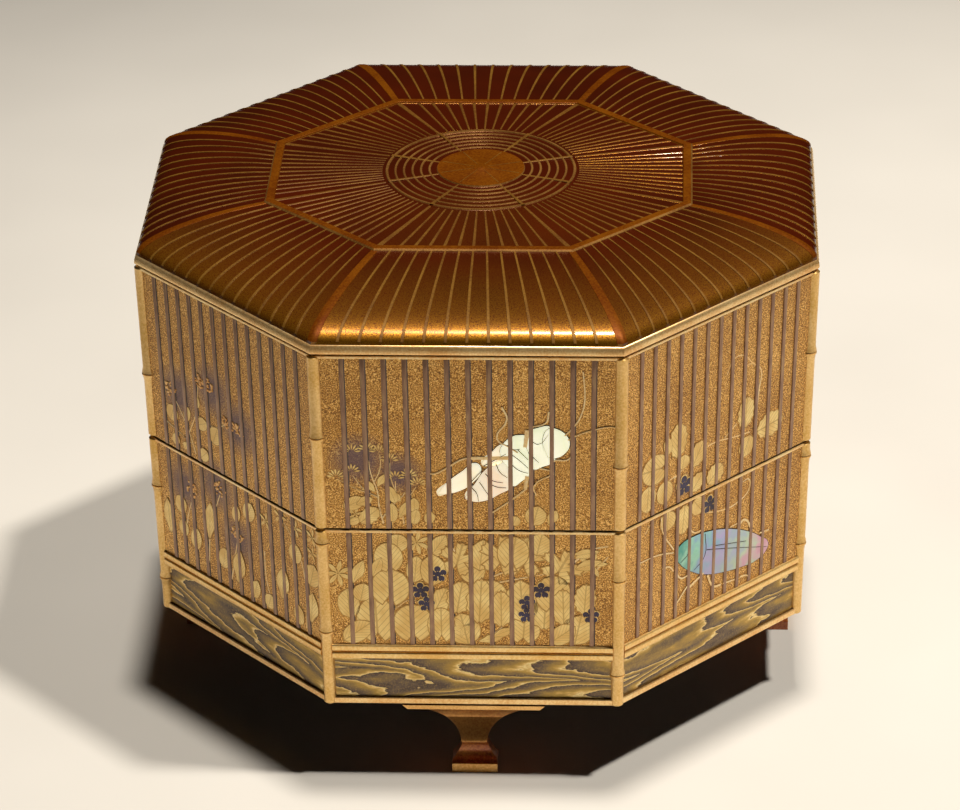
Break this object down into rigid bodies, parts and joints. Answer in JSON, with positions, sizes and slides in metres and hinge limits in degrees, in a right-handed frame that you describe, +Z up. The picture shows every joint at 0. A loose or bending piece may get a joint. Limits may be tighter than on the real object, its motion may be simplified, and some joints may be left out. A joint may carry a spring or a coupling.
{
  "type": "lacquer sweetmeat box",
  "caption": "Octagonal lacquer sweetmeat box made like an insect cage, with a low domed lid, stacked barred tiers and bracket feet.",
  "frame": {"origin": "on the ground under the middle of the box, midway between the feet", "axes": "+Z up, -Y towards the front face with the large cricket, +X towards the right foot"},
  "size_m": [0.1146, 0.1112, 0.0885],
  "materials": {
    "lid_lacquer": "polished red-brown lacquer dusted with gold, ribs and bands in orange gold",
    "gold_ground": "wood under sprinkled gold-dust lacquer, with brown raised bars and gold posts and rails",
    "foot_lacquer": "wood under red-brown gold lacquer with pale gold edges",
    "shell_inlay": "thin iridescent mother-of-pearl flakes, polished"
  },
  "bodies": {
    "root": {"lid": "lid_lacquer", "upper_tier": "gold_ground", "lower_tier": "gold_ground", "foot_front": "foot_lacquer", "foot_right": "foot_lacquer", "foot_back": "foot_lacquer", "foot_left": "foot_lacquer"}
  },
  "joints": []
}
